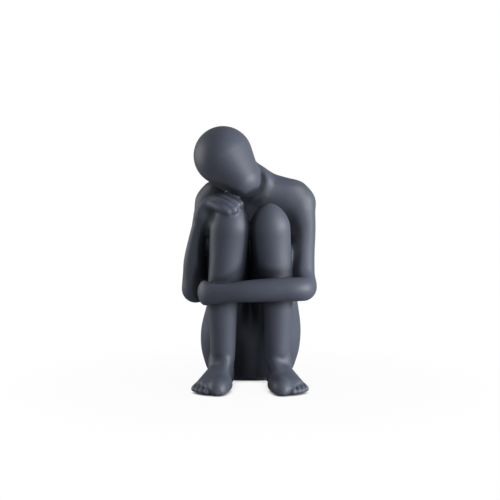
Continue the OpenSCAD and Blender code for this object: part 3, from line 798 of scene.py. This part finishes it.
class Figure:
    """The whole figure as one skin, with each casting's share of it."""

    def __init__(self):
        s = settings()
        low, high = (np.array(corner) for corner in CAD_BOX)
        step = s.skin.step
        side = np.ceil((max(-low[0], high[0]) + LATTICE_PAD) / step) * step
        low, high = low - LATTICE_PAD, high + LATTICE_PAD
        self.lattice = Lattice([-side, *low[1:]], [side, *high[1:]], step)
        self.parts = self.sculpted()
        self.field = self.joined()
        self.label = self.owners()
        self.mesh_cells()
        self.settle()

    def sculpted(self):
        """Each casting's own field."""
        parts = {}
        for name, sculpt in (("trunk", sculpt_trunk), ("head", sculpt_head), ("right_arm", sculpt_right_arm),
                             ("left_arm", sculpt_left_arm), ("left_leg", sculpt_leg)):
            parts[name] = Casting(self.lattice, *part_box(name))
            sculpt(parts[name])
        parts["right_leg"] = mirrored(parts["left_leg"], self.lattice)
        return parts

    def joined(self):
        """All castings' fields in one, with a soft blend near the joints and a tight one elsewhere.
        The soles are cut level over the pads, and the vent is cut into the seat."""
        s = settings()
        skin, trunk = s.skin, s.trunk
        arm, hip = s.arm, spot(s.leg.hip)
        joints = {"left_leg": (hip, LEG_SPREAD, skin.hip),
                  "right_leg": (hip * [RIGHT, 1, 1], LEG_SPREAD, skin.hip),
                  "left_arm": (spot(arm.left_shoulder), ARM_SPREAD, skin.joint),
                  "right_arm": (spot(arm.right_shoulder), ARM_SPREAD, skin.joint),
                  "head": (neck_head(trunk) + NAPE, HEAD_SPREAD, skin.hip)}
        field = self.parts["trunk"].field.copy()
        for name, (place, spread, reach) in joints.items():
            low, high = (np.array(corner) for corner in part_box(name))
            cut, points = self.lattice.window(low - FAR, high + FAR)
            away = np.sqrt(sum((v - p) ** 2 for v, p in zip(points, place))) / spread
            ease = np.clip(2 - away, 0, 1)
            reaches = between(skin.contact, reach, ease * ease * (3 - 2 * ease))
            field[cut] = soft_min(field[cut], self.parts[name].field[cut], reaches)
        field = blurred(field)
        x, y, z = np.meshgrid(*self.lattice.axes, indexing="ij", sparse=True)
        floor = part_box(PADS[0])[1][2]
        field = soft_max(field, floor - z + 0 * x + 0 * y, skin.sole)
        seat = spot(trunk.seat)
        vent_d, vent_l = trunk.vent
        aside = np.hypot(x, y - between(seat[1], seat[2], MIDDLE_SHARE))
        bore = np.maximum(aside - vent_d / 2, z - floor - vent_l)
        return soft_max(field, -bore, skin.contact).astype(np.float32)

    def owners(self):
        """Which casting each lattice point is in, counted from one, and nought for the air. Where forms
        overlap, the casting with more say owns the place."""
        fields = np.stack([self.parts[name].field for name in CASTINGS])
        say = np.array([OWNERSHIP[name] for name in CASTINGS], np.float32)[:, None, None, None]
        owner = np.argmin(np.where(fields < 0, fields * say, fields), axis=0) + 1
        return np.where(self.field < 0, owner, 0).astype(np.int8)

    def mesh_cells(self):
        """One vertex in each lattice cell whose corners have more than one owner, at the mean of the
        places where its edges change owner, and one four-sided face round each such edge."""
        shape = np.array(self.label.shape)
        count = int(np.prod(shape))
        strides = np.array([shape[1] * shape[2], shape[2], 1])
        skin_sum, skin_n = np.zeros((count, 3)), np.zeros(count)
        inner_sum, inner_n = np.zeros((count, 3)), np.zeros(count)
        quads, pairs = [], []
        ways = np.eye(3, dtype=int)
        for axis in range(3):
            first = tuple(slice(None, -1) if k == axis else slice(None) for k in range(3))
            second = tuple(slice(1, None) if k == axis else slice(None) for k in range(3))
            at = np.argwhere(self.label[first] != self.label[second])
            ahead = at + ways[axis]
            a, b = self.label[tuple(at.T)], self.label[tuple(ahead.T)]
            fa, fb = self.field[tuple(at.T)], self.field[tuple(ahead.T)]
            outer = (a == 0) | (b == 0)
            share = np.where(outer, fa / np.where(fa == fb, 1, fa - fb), 0.5)
            cross = at + ways[axis] * np.clip(share, 0, 1)[:, None]
            u, v = ways[(axis + 1) % 3], ways[(axis + 2) % 3]
            cells = np.stack([corner @ strides for corner in (at - u - v, at - v, at, at - u)], 1)
            for column in cells.T:
                for chosen, total, number in ((outer, skin_sum, skin_n), (~outer, inner_sum, inner_n)):
                    for k in range(3):
                        total[:, k] += np.bincount(column[chosen], cross[chosen, k], count)
                    number += np.bincount(column[chosen], minlength=count)
            quads.append(cells)
            pairs.append(np.stack([a, b], 1))
        quads, self.sides = np.vstack(quads), np.vstack(pairs)
        used, faces = np.unique(quads, return_inverse=True)
        self.faces = faces.reshape(quads.shape)
        self.on_skin = skin_n[used] > 0
        total = np.where(self.on_skin[:, None], skin_sum[used], inner_sum[used])
        number = np.where(self.on_skin, skin_n[used], inner_n[used])
        self.vertices = self.lattice.low + total / number[:, None] * self.lattice.step

    def settle(self):
        """Joint faces are relaxed, and the skin's vertices move down the slope onto the field's nought.
        Normals come from the field's slope, and the skin's bend from its divergence."""
        n = len(self.vertices)
        ends = np.vstack([self.faces[:, [k, (k + 1) % 4]] for k in range(4)])
        ends = np.vstack([ends, ends[:, ::-1]])
        number = np.bincount(ends[:, 0], minlength=n)
        for _ in range(RELAX_ROUNDS):
            mean = np.stack([np.bincount(ends[:, 0], self.vertices[ends[:, 1], k], n) for k in range(3)], 1)
            self.vertices = np.where(self.on_skin[:, None], self.vertices, mean / number[:, None])
        slope = np.stack(np.gradient(self.field, self.lattice.step), axis=-1)
        skin = self.on_skin
        for _ in range(SETTLE_ROUNDS):
            places = self.vertices[skin]
            way = self.lattice.sample(slope, places)
            value = self.lattice.sample(self.field, places)
            move = way * (value / np.maximum((way * way).sum(1), LEAST_STEEPNESS))[:, None]
            far = np.linalg.norm(move, axis=1, keepdims=True) / (LONGEST_MOVE_SHARE * self.lattice.step)
            self.vertices[skin] = places - move / np.maximum(far, 1)
        self.normals = unit(self.lattice.sample(slope, self.vertices) + 1e-9)
        bend = sum(np.gradient(slope[..., k], self.lattice.step, axis=k) for k in range(3))
        for _ in range(BEND_ROUNDS):
            bend = blurred(bend)
        self.bend = self.lattice.sample(bend.astype(np.float32), self.vertices) * MM
        self.shelter = np.mean([self.shelter_at(reach) for reach in np.array(SHELTER_REACHES) * MM], axis=0)

    def shelter_at(self, reach):
        """How much nearer than its own distance other skin is to the place so far straight out: the mask of
        the glaze's painted shade.
        """
        places = self.vertices + self.normals * reach
        top = self.lattice.low + (np.array(self.field.shape) - 1) * self.lattice.step
        inside = np.all((places > self.lattice.low) & (places < top), axis=1)
        room = np.where(inside, self.lattice.sample(self.field, places), FAR)
        return 1 - np.clip(room / min(reach, FAR), 0, 1)

    def casting_mesh(self, name):
        """The casting's faces: its skin, and the joint faces that it shares with its neighbours."""
        number = CASTINGS.index(name) + 1
        low, high = (self.sides == number).T
        faces = np.vstack([self.faces[low], self.faces[high][:, ::-1]])
        outside = np.concatenate([self.sides[low][:, 1], self.sides[high][:, 0]]) == 0
        used, faces = np.unique(faces, return_inverse=True)
        faces = faces.reshape(-1, 4)
        mesh = bpy.data.meshes.new(name + "_glazed")
        mesh.from_pydata(self.vertices[used].tolist(), [], faces.tolist())
        mesh.shade_smooth()
        flat = np.empty(len(faces) * 3)
        mesh.polygons.foreach_get("normal", flat)
        corner_normals = np.where(outside[:, None, None], self.normals[used][faces], flat.reshape(-1, 1, 3))
        mesh.normals_split_custom_set(corner_normals.reshape(-1, 3).tolist())
        # The shelter attribute is the mask of the painted shade in the glaze.
        for label, values in (("bend", self.bend), ("shelter", self.shelter), ("bare", ~self.on_skin)):
            attribute = mesh.attributes.new(label, "FLOAT", "POINT")
            attribute.data.foreach_set("value", values[used].astype(np.float32))
        return mesh


worked_out = {}


def figure():
    """The figure is worked out once, by the first casting that asks for it."""
    if "figure" not in worked_out:
        worked_out["figure"] = Figure()
    return worked_out["figure"]


def placed(name, data, place=(0, 0, 0)):
    """A new object in the scene, by default at the origin."""
    item = bpy.data.objects.new(name, data)
    bpy.context.scene.collection.objects.link(item)
    item.location = place
    return item


def dressed(mesh, node, material):
    """A finished piece that stands for a node of the part."""
    piece = placed(mesh.name, mesh)
    mesh.materials.append(material)
    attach(piece, "root")
    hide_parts(node)
    return piece


# Materials

def node_group(name, inputs, outputs):
    """A shader group with its sockets, given as rows of name, kind and default."""
    group = bpy.data.node_groups.new(name, "ShaderNodeTree")
    for direction, rows in (("INPUT", inputs), ("OUTPUT", outputs)):
        for label, kind, default in rows:
            socket = group.interface.new_socket(label, in_out=direction, socket_type=f"NodeSocket{kind}")
            if default is not None:
                socket.default_value = default
    return group, group.nodes.new("NodeGroupInput").outputs, group.nodes.new("NodeGroupOutput").inputs


def add(tree, kind, choices=None, **inputs):
    """A shader node with its choices and its inputs, each a value or another node's output. An input
    goes by its name, or by i and its number where the name isn't its own."""
    node = tree.nodes.new("ShaderNode" + kind)
    for key, value in (choices or {}).items():
        setattr(node, key, value)
    for key, value in inputs.items():
        socket = node.inputs[int(key[1:]) if key[1:].isdigit() else key.replace("_", " ")]
        if isinstance(value, bpy.types.NodeSocket):
            tree.links.new(value, socket)
        else:
            socket.default_value = value
    return node


def maths(tree, operation, a, b=0.0, clamp=False):
    return add(tree, "Math", {"operation": operation, "use_clamp": clamp}, i0=a, i1=b).outputs[0]


def mixed(tree, share, a, b):
    return add(tree, "Mix", {"data_type": "RGBA"}, i0=share, i6=a, i7=b).outputs[2]


def ranged(tree, value, given, result=(0.0, 1.0), choices=None):
    """The value carried from one range to another, and held at its ends."""
    return add(tree, "MapRange", choices, Value=value, From_Min=given[0], From_Max=given[1],
               To_Min=result[0], To_Max=result[1]).outputs[0]


def noise(tree, place, scale, detail, roughness, distortion=0.0):
    return add(tree, "TexNoise", None, Vector=place, Scale=scale, Detail=detail, Roughness=roughness,
               Distortion=distortion).outputs[0]


def summed(tree, base, value, share, clamp=False):
    """The base and a share of the value."""
    return maths(tree, "ADD", base, maths(tree, "MULTIPLY", value, share), clamp)


def rgba(rgb):
    return (*rgb, 1.0)


CLOUD_SCALE = 28.0
PEEL_SCALE = 420.0
FIRED_GRAIN = 900.0
FINE_RELIEF_SHARE = 0.4


def speckle_group():
    """Cloud and mottle of a fired surface, each about nought, and its fine relief."""
    if "Fired surface" in bpy.data.node_groups:
        return bpy.data.node_groups["Fired surface"]
    group, given, result = node_group(
        "Fired surface", [("Position", "Vector", None), ("Grain", "Float", FIRED_GRAIN)],
        [("Cloud", "Float", None), ("Mottle", "Float", None), ("Relief", "Float", None)])
    cloud = noise(group, given["Position"], CLOUD_SCALE, 3.0, 0.5)
    fine = noise(group, given["Position"], given["Grain"], 3.0, 0.6)
    peel = noise(group, given["Position"], PEEL_SCALE, 2.0, 0.5)
    group.links.new(maths(group, "SUBTRACT", cloud, 0.5), result["Cloud"])
    group.links.new(maths(group, "SUBTRACT", fine, 0.5), result["Mottle"])
    group.links.new(summed(group, peel, fine, FINE_RELIEF_SHARE), result["Relief"])
    return group


def bare_tree(block):
    """The shader nodes of a material or world, cleared."""
    block.use_nodes = True
    block.node_tree.nodes.clear()
    return block.node_tree


def new_material(name):
    """A material with its own tree and a shader that feeds its surface."""
    material = bpy.data.materials.new(name)
    tree = bare_tree(material)
    shader = tree.nodes.new("ShaderNodeBsdfPrincipled")
    out = tree.nodes.new("ShaderNodeOutputMaterial")
    tree.links.new(shader.outputs[0], out.inputs["Surface"])
    return material, tree, shader


CLOUD_SHADE, MOTTLE_SHADE = 0.35, 0.5
THIN_BENDS, THIN_SHARES = (0.12, 0.6), (0.0, 0.55)
POOLED_BENDS, POOLED_SHARES = (-0.05, -0.6), (0.0, 0.8)
# Painted shade: the more other skin shelters a place, the nearer its colour comes to the thick colour.
SHADE_SHELTERS, SHADE_SHARES = (0.14, 0.5), (0.0, 0.9)
MOTTLE_ROUGHNESS, CLAY_ROUGHNESS = 0.25, 0.5
GLAZE_RELIEF, GLAZE_RELIEF_HEIGHT = 0.35, 0.0002


def glaze_material():
    """Satin slate glaze, paler on tight rounds and darker in creases, with painted shade that darkens it
    towards the thick colour in sheltered places, and bare clay on the joint faces."""
    if "Slate glaze" in bpy.data.materials:
        return bpy.data.materials["Slate glaze"]
    look = settings().glaze
    material, tree, shader = new_material("Slate glaze")
    place = add(tree, "TexCoord").outputs["Object"]
    fired = add(tree, "Group", {"node_tree": speckle_group()}, Position=place).outputs
    bend, shelter, bare = (add(tree, "Attribute", {"attribute_name": name}).outputs["Fac"]
                           for name in ("bend", "shelter", "bare"))
    shade = maths(tree, "MULTIPLY", fired["Cloud"], CLOUD_SHADE)
    shade = summed(tree, shade, fired["Mottle"], MOTTLE_SHADE)
    shade = maths(tree, "ADD", shade, ranged(tree, bend, THIN_BENDS, THIN_SHARES), clamp=True)
    tone = mixed(tree, shade, rgba(look.slate), rgba(look.pale))
    pooled = ranged(tree, bend, POOLED_BENDS, POOLED_SHARES)
    # Painted shade in sheltered places, mixed with the darker glaze that pools in creases.
    painted_shade = ranged(tree, shelter, SHADE_SHELTERS, SHADE_SHARES)
    tone = mixed(tree, maths(tree, "MAXIMUM", pooled, painted_shade), tone, rgba(look.deep))
    tree.links.new(mixed(tree, bare, tone, rgba(look.clay)), shader.inputs["Base Color"])
    rough = summed(tree, look.roughness, fired["Mottle"], MOTTLE_ROUGHNESS)
    rough = summed(tree, rough, bare, CLAY_ROUGHNESS, clamp=True)
    tree.links.new(rough, shader.inputs["Roughness"])
    relief = add(tree, "Bump", None, Strength=GLAZE_RELIEF, Distance=GLAZE_RELIEF_HEIGHT,
                 Height=fired["Relief"])
    tree.links.new(relief.outputs[0], shader.inputs["Normal"])
    shader.inputs["Specular IOR Level"].default_value = look.gloss
    return material


FELT_GRAIN, FIBRE_SCALE = 2600.0, 1400.0
FLUFFY_FIBRES = (0.5, 0.75)
FELT_ROUGHNESS, FELT_MOTTLE, FELT_SHEEN = 0.9, 0.15, 0.3
FELT_RELIEF, FELT_RELIEF_HEIGHT = 0.8, 0.0003


def felt_material():
    """Dark pressed felt with loose pale fibres."""
    if "Pressed felt" in bpy.data.materials:
        return bpy.data.materials["Pressed felt"]
    look = settings().felt
    material, tree, shader = new_material("Pressed felt")
    place = add(tree, "TexCoord").outputs["Object"]
    fired = add(tree, "Group", {"node_tree": speckle_group()}, Position=place, Grain=FELT_GRAIN).outputs
    fibres = noise(tree, place, FIBRE_SCALE, 5.0, 0.7, 2.0)
    fluff = ranged(tree, fibres, FLUFFY_FIBRES)
    tree.links.new(mixed(tree, fluff, rgba(look.wool), rgba(look.fluff)), shader.inputs["Base Color"])
    rough = summed(tree, FELT_ROUGHNESS, fired["Mottle"], FELT_MOTTLE, clamp=True)
    tree.links.new(rough, shader.inputs["Roughness"])
    shader.inputs["Sheen Weight"].default_value = FELT_SHEEN
    relief = add(tree, "Bump", None, Strength=FELT_RELIEF, Distance=FELT_RELIEF_HEIGHT, Height=fibres)
    tree.links.new(relief.outputs[0], shader.inputs["Normal"])
    return material


# Felt pads

PAD_SIDES = 96
FLAT_RINGS, ARC_RINGS = 8, 12
EDGE_SHARE = 0.42
LEAST_RING_SHARE = 0.02
WAVE_SHARE = 0.25
WAVE_COUNTS = (23, 7)


def pad_mesh(name):
    """A disc of felt as a surface of turn and radius: a profile of two flats joined by a round edge is
    carried round the middle, and waves of the turn make its edge and top uneven."""
    low, high = (np.array(corner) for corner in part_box(name))
    middle = (low + high) / 2
    radius, thick = (high[0] - low[0]) / 2, high[2] - low[2]
    edge = thick * EDGE_SHARE
    inner = radius - edge
    flat = np.linspace(LEAST_RING_SHARE, 1, FLAT_RINGS) * inner
    arc = np.radians(np.linspace(-90, 90, ARC_RINGS))
    profile_r = np.concatenate([flat, inner + edge * np.cos(arc), flat[::-1]])[:, None]
    profile_z = np.concatenate([0 * flat, thick / 2 + (thick / 2) * np.sin(arc), thick + 0 * flat])[:, None]
    turn = np.linspace(0, 2 * np.pi, PAD_SIDES, endpoint=False)
    uneven = 0.6 + 0.4 * np.sin(WAVE_COUNTS[0] * turn) * np.sin(WAVE_COUNTS[1] * turn + 1)
    reach = profile_r - edge * WAVE_SHARE * uneven * (profile_r / radius) ** 8
    rows = np.stack([middle[0] + reach * np.cos(turn), middle[1] + reach * np.sin(turn),
                     low[2] + profile_z + 0 * reach], axis=-1)
    numbers = np.arange(rows[..., 0].size).reshape(-1, PAD_SIDES)
    ahead = np.roll(numbers, -1, axis=1)
    quads = np.stack([numbers[:-1], ahead[:-1], ahead[1:], numbers[1:]], axis=-1)
    faces = quads.reshape(-1, 4).tolist() + [numbers[0, ::-1].tolist(), numbers[-1].tolist()]
    mesh = bpy.data.meshes.new(name + "_felt")
    mesh.from_pydata(rows.reshape(-1, 3).tolist(), [], faces)
    mesh.shade_smooth()
    return mesh


# Stage

SENSOR_MM = 36
FLOOR_REACH = 12.0
LAMP_AIM = (0, 0, 0.12)
KEY_PLACE, KEY_SIZE = (0.96, -0.46, 0.25), (1.0, 0.8)
RIM_PLACE, RIM_SIZE = (-0.86, 0.24, 0.24), (0.6, 0.8)
# Painted shade on the floor: it is a little less white near the object, and paler with distance.
PALE_DISTANCES, PALE_SHARES = (0.05, 0.3), (0.96, 1.0)
SHADOW_REACH, SHADOW_RANGE = 0.02, (0.1, 0.6)
WHITE = (1, 1, 1, 1)


def aimed(item, target):
    """Turn a lamp or camera from its place towards a target."""
    item.rotation_euler = (Vector(target) - item.location).to_track_quat("-Z", "Y").to_euler()


def lamp(name, place, size, power):
    data = bpy.data.lights.new(name, "AREA")
    data.energy = power
    data.shape = "RECTANGLE"
    data.size, data.size_y = size
    aimed(placed(name, data, place), LAMP_AIM)


def seen_white(tree, light, plain, share):
    """The plain shader, turned to white light where the camera itself looks at it."""
    looks = add(tree, "LightPath").outputs["Is Camera Ray"]
    white = add(tree, light, None, Color=WHITE, Strength=1.0).outputs[0]
    share = maths(tree, "MULTIPLY", looks, share)
    return add(tree, "MixShader", None, i0=share, i1=plain, i2=white).outputs[0]


def make_camera(look):
    camera = placed("Camera", bpy.data.cameras.new("Camera"), look.eye)
    camera.data.sensor_width = SENSOR_MM
    camera.data.lens = look.focal
    aimed(camera, look.aim)
    bpy.context.scene.camera = camera
    bpy.context.scene.view_settings.view_transform = "Standard"


def make_room(look):
    """Soft light from all sides, which the camera sees as white."""
    world = bpy.data.worlds.new("Room")
    bpy.context.scene.world = world
    tree = bare_tree(world)
    room = add(tree, "Background", None, Color=WHITE, Strength=look.room).outputs[0]
    out = tree.nodes.new("ShaderNodeOutputWorld")
    tree.links.new(seen_white(tree, "Background", room, 1.0), out.inputs["Surface"])


def paper_material(look):
    """Pale paper, which the camera sees as white but for the object's shadow: painted shade greys it a little
    near the object and more where ambient occlusion finds contact, so that the paper's plain lit colour shows
    there.
    """
    paper = bpy.data.materials.new("Paper")
    tree = bare_tree(paper)
    plain = add(tree, "BsdfDiffuse", None, Color=rgba(look.paper)).outputs[0]
    place = add(tree, "TexCoord").outputs["Object"]
    away = add(tree, "VectorMath", {"operation": "LENGTH"}, i0=place).outputs["Value"]
    share = ranged(tree, away, PALE_DISTANCES, PALE_SHARES, {"interpolation_type": "SMOOTHSTEP"})
    # Painted contact shadow: ambient occlusion lowers the white share where the object meets the floor.
    clear = add(tree, "AmbientOcclusion", {"samples": 8}, Distance=SHADOW_REACH).outputs["AO"]
    share = maths(tree, "MULTIPLY", share, ranged(tree, clear, SHADOW_RANGE))
    out = tree.nodes.new("ShaderNodeOutputMaterial")
    tree.links.new(seen_white(tree, "Emission", plain, share), out.inputs["Surface"])
    return paper


def make_floor(look):
    mesh = bpy.data.meshes.new("Floor")
    corners = [(x * FLOOR_REACH, y * FLOOR_REACH, 0) for x, y in ((-1, -1), (1, -1), (1, 1), (-1, 1))]
    mesh.from_pydata(corners, [], [(0, 1, 2, 3)])
    mesh.materials.append(paper_material(look))
    floor = placed("Floor", mesh)
    floor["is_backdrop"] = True


# Operators

def glaze_castings(names):
    for name in names:
        dressed(figure().casting_mesh(name), name, glaze_material())
    return {"FINISHED"}


class FIGURINE_OT_trunk(bpy.types.Operator):
    """Make the casting of the trunk and the neck"""
    bl_idname = "figurine.trunk"
    bl_label = "Trunk"

    def execute(self, context):
        return glaze_castings(["trunk"])


class FIGURINE_OT_head(bpy.types.Operator):
    """Make the casting of the head"""
    bl_idname = "figurine.head"
    bl_label = "Head"

    def execute(self, context):
        return glaze_castings(["head"])


class FIGURINE_OT_arms(bpy.types.Operator):
    """Make the castings of both arms with their hands"""
    bl_idname = "figurine.arms"
    bl_label = "Arms"

    def execute(self, context):
        return glaze_castings(["right_arm", "left_arm"])


class FIGURINE_OT_legs(bpy.types.Operator):
    """Make the castings of both legs with their feet"""
    bl_idname = "figurine.legs"
    bl_label = "Legs"

    def execute(self, context):
        return glaze_castings(["right_leg", "left_leg"])


class FIGURINE_OT_pads(bpy.types.Operator):
    """Make the felt pads under the seat and the feet"""
    bl_idname = "figurine.pads"
    bl_label = "Felt pads"

    def execute(self, context):
        for name in PADS:
            dressed(pad_mesh(name), name, felt_material())
        return {"FINISHED"}


class FIGURINE_OT_stage(bpy.types.Operator):
    """Make the floor, the lamps and the camera"""
    bl_idname = "figurine.stage"
    bl_label = "Stage"

    def execute(self, context):
        look = settings().studio
        make_camera(look)
        make_room(look)
        make_floor(look)
        lamp("Key", KEY_PLACE, KEY_SIZE, look.key)
        lamp("Rim", RIM_PLACE, RIM_SIZE, look.rim)
        return {"FINISHED"}


class FIGURINE_PT_panel(bpy.types.Panel):
    """The figurine's operators and settings"""
    bl_idname = "FIGURINE_PT_panel"
    bl_label = "Figurine"
    bl_space_type = "VIEW_3D"
    bl_region_type = "UI"
    bl_category = "Figurine"

    def draw(self, context):
        for operator in OPERATORS:
            self.layout.operator(operator.bl_idname)
        for group in ("skin", "glaze", "felt", "studio"):
            box = self.layout.box()
            box.label(text=group.capitalize())
            for key in getattr(context.scene.figurine, group).__annotations__:
                box.prop(getattr(context.scene.figurine, group), key)


GROUPS = (TrunkForm, HeadForm, LegForm, FootForm, ArmForm, HandForm, SkinForm, GlazeLook, FeltLook,
          StudioLook, FigurineSettings)
OPERATORS = (FIGURINE_OT_stage, FIGURINE_OT_trunk, FIGURINE_OT_head, FIGURINE_OT_arms,
             FIGURINE_OT_legs, FIGURINE_OT_pads)
CLASSES = (*GROUPS, *OPERATORS, FIGURINE_PT_panel)


def register():
    for item in CLASSES:
        bpy.utils.register_class(item)
    bpy.types.Scene.figurine = bpy.props.PointerProperty(type=FigurineSettings)


def unregister():
    del bpy.types.Scene.figurine
    for item in reversed(CLASSES):
        bpy.utils.unregister_class(item)


def plain(corners):
    return [[float(v) for v in corner] for corner in corners]


def main():
    register()
    bpy.ops.figurine.stage()
    bpy.ops.figurine.trunk()
    bpy.ops.figurine.head()
    bpy.ops.figurine.arms()
    bpy.ops.figurine.legs()
    bpy.ops.figurine.pads()
    {"cad": plain(CAD_BOX), "visual": plain(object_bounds())}


if __name__ == "__main__":
    main()
